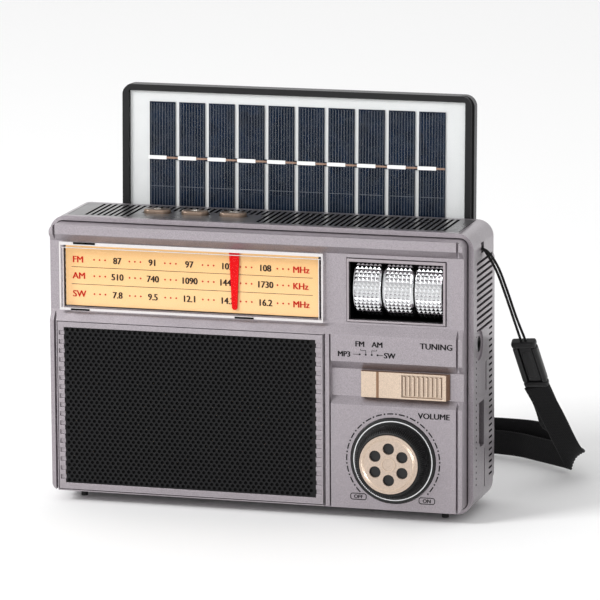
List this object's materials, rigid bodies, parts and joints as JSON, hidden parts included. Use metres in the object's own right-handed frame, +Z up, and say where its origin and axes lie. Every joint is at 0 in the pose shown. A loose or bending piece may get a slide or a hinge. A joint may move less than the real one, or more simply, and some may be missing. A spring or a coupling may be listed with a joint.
{
  "type": "shortwave_receiver",
  "caption": "Portable shortwave receiver with analogue dial, tuning drum, volume knob, band slider, folding solar panel and wrist strap.",
  "frame": {"origin": "Centre of the bounding box in plan, on the surface that the feet stand on.", "axes": "+Z up, +X to the right as seen from the front, the front face looks towards -Y."},
  "size_m": [0.2322, 0.1568, 0.1875],
  "materials": {
    "case_shell": "satin lilac-silver lacquer",
    "champagne": "satin champagne lacquer",
    "copper": "satin copper lacquer",
    "chrome": "polished",
    "steel": "brushed",
    "black": "fine matte",
    "charcoal": "textured",
    "mesh": "perforated, satin black",
    "amber": "printed amber",
    "red": "glossy red",
    "clear": "clear",
    "green": "solder mask",
    "cell": "dark blue solar cell",
    "white": "matte white",
    "ferrite": "matte ferrite",
    "winding": "enamelled copper wire",
    "paper": "black paper cone",
    "wrap": "shrink wrap",
    "cloth": "woven black webbing",
    "rubber": "soft black rubber",
    "top": "satin grey"
  },
  "bodies": {
    "radio": {"front_panel": "case_shell", "case_shell": "case_shell", "rear_cover": "case_shell", "top_plate": "top", "speaker_frame": "charcoal", "speaker_grille": "mesh", "speaker_basket": "steel", "speaker_magnet": "ferrite", "dial_cover": "clear", "dial_plate": "amber", "pointer_rail": "steel", "dial_string": "black", "tuning_bezel": "steel", "drum_housing": "black", "band_switch": "black", "button_board": "green", "main_board": "green", "battery_cell": "wrap", "ferrite_rod": "ferrite", "headphone_jack": "chrome", "usb_socket": "steel", "card_socket": "steel", "hinge_rod": "steel", "strap_post": "steel", "strap_cord": "cloth", "strap_clip": "black", "strap_webbing": "cloth", "antenna_coil": "winding", "tuning_capacitor": "steel", "volume_escutcheon": "black", "volume_pot": "steel", "foot_front_left": "rubber", "foot_front_right": "rubber", "foot_rear_left": "rubber", "foot_rear_right": "rubber"},
    "solar_panel": {"solar_frame": "charcoal", "solar_backing": "white", "solar_cells": "cell", "solar_glass": "clear"},
    "tuner": {"tuning_drum": "chrome", "drum_axle": "steel", "string_pulley": "white"},
    "capacitor": {"capacitor_rotor": "steel"},
    "dial_pointer": {"pointer": "red", "pointer_carriage": "black"},
    "idler_left": {"idler_pulley_left": "white"},
    "idler_right": {"idler_pulley_right": "white"},
    "volume": {"volume_knob": "charcoal", "knob_disc": "champagne", "pot_shaft": "steel"},
    "band": {"band_slider": "champagne"},
    "power": {"power_button": "copper"},
    "light": {"light_button": "copper"},
    "alarm": {"alarm_button": "copper"},
    "door": {"battery_door": "case_shell"},
    "cone": {"speaker_cone": "paper"},
    "antenna": {"antenna_pivot": "steel", "antenna_tube_1": "chrome"},
    "antenna_middle": {"antenna_tube_2": "chrome"},
    "antenna_tip": {"antenna_tube_3": "chrome"}
  },
  "joints": [
    {"name": "solar_hinge", "type": "hinge", "parent": "radio", "child": "solar_panel", "pos_m": [0, 0.0322, 0.1215], "axis": [-1, 0, 0], "range_deg": [0, 178]},
    {"name": "tuner_spin", "type": "hinge", "parent": "radio", "child": "tuner", "pos_m": [0.06675, -0.0113, 0.1059], "axis": [1, 0, 0], "range_deg": [-573, 172]},
    {"name": "pointer_slide", "type": "slide", "parent": "radio", "child": "dial_pointer", "axis": [1, 0, 0], "range_m": [-0.0601, 0.0181]},
    {"name": "capacitor_turn", "type": "hinge", "parent": "radio", "child": "capacitor", "pos_m": [0.028, -0.0113, 0.1059], "axis": [1, 0, 0], "range_deg": [-138, 42]},
    {"name": "idler_left_spin", "type": "hinge", "parent": "radio", "child": "idler_left", "pos_m": [-0.09, -0.0193, 0.1246], "axis": [0, 1, 0], "range_deg": [-1500, 460]},
    {"name": "idler_right_spin", "type": "hinge", "parent": "radio", "child": "idler_right", "pos_m": [0.036, -0.0193, 0.1246], "axis": [0, 1, 0], "range_deg": [-1500, 460]},
    {"name": "volume_turn", "type": "hinge", "parent": "radio", "child": "volume", "pos_m": [0.0655, -0.0358, 0.0281], "axis": [0, 1, 0], "range_deg": [0, 300]},
    {"name": "band_slide", "type": "slide", "parent": "radio", "child": "band", "axis": [1, 0, 0], "range_m": [-0.0083, 0]},
    {"name": "power_press", "type": "slide", "parent": "radio", "child": "power", "axis": [0, 0, -1], "range_m": [0, 0.0008], "stiffness_N_per_m": 600, "springref_m": -0.0004},
    {"name": "light_press", "type": "slide", "parent": "radio", "child": "light", "axis": [0, 0, -1], "range_m": [0, 0.0008], "stiffness_N_per_m": 600, "springref_m": -0.0004},
    {"name": "alarm_press", "type": "slide", "parent": "radio", "child": "alarm", "axis": [0, 0, -1], "range_m": [0, 0.0008], "stiffness_N_per_m": 600, "springref_m": -0.0004},
    {"name": "battery_door_pull", "type": "slide", "parent": "radio", "child": "door", "axis": [0, 1, 0], "range_m": [0, 0.008]},
    {"name": "cone_move", "type": "slide", "parent": "radio", "child": "cone", "axis": [0, 1, 0], "range_m": [-0.001, 0.001], "stiffness_N_per_m": 800},
    {"name": "antenna_swing", "type": "hinge", "parent": "radio", "child": "antenna", "pos_m": [-0.09, 0.0317, 0.112], "axis": [0, 1, 0], "range_deg": [0, 180]},
    {"name": "antenna_extend_middle", "type": "slide", "parent": "antenna", "child": "antenna_middle", "axis": [0, 0, -1], "range_m": [0, 0.065]},
    {"name": "antenna_extend_tip", "type": "slide", "parent": "antenna_middle", "child": "antenna_tip", "axis": [0, 0, -1], "range_m": [0, 0.063]}
  ],
  "couplings": [
    {"joint": "pointer_slide", "follows": "tuner_spin", "m_per_rad": 0.006},
    {"joint": "capacitor_turn", "follows": "tuner_spin", "ratio": 0.24},
    {"joint": "idler_left_spin", "follows": "tuner_spin", "ratio": 2.6},
    {"joint": "idler_right_spin", "follows": "tuner_spin", "ratio": 2.6}
  ]
}
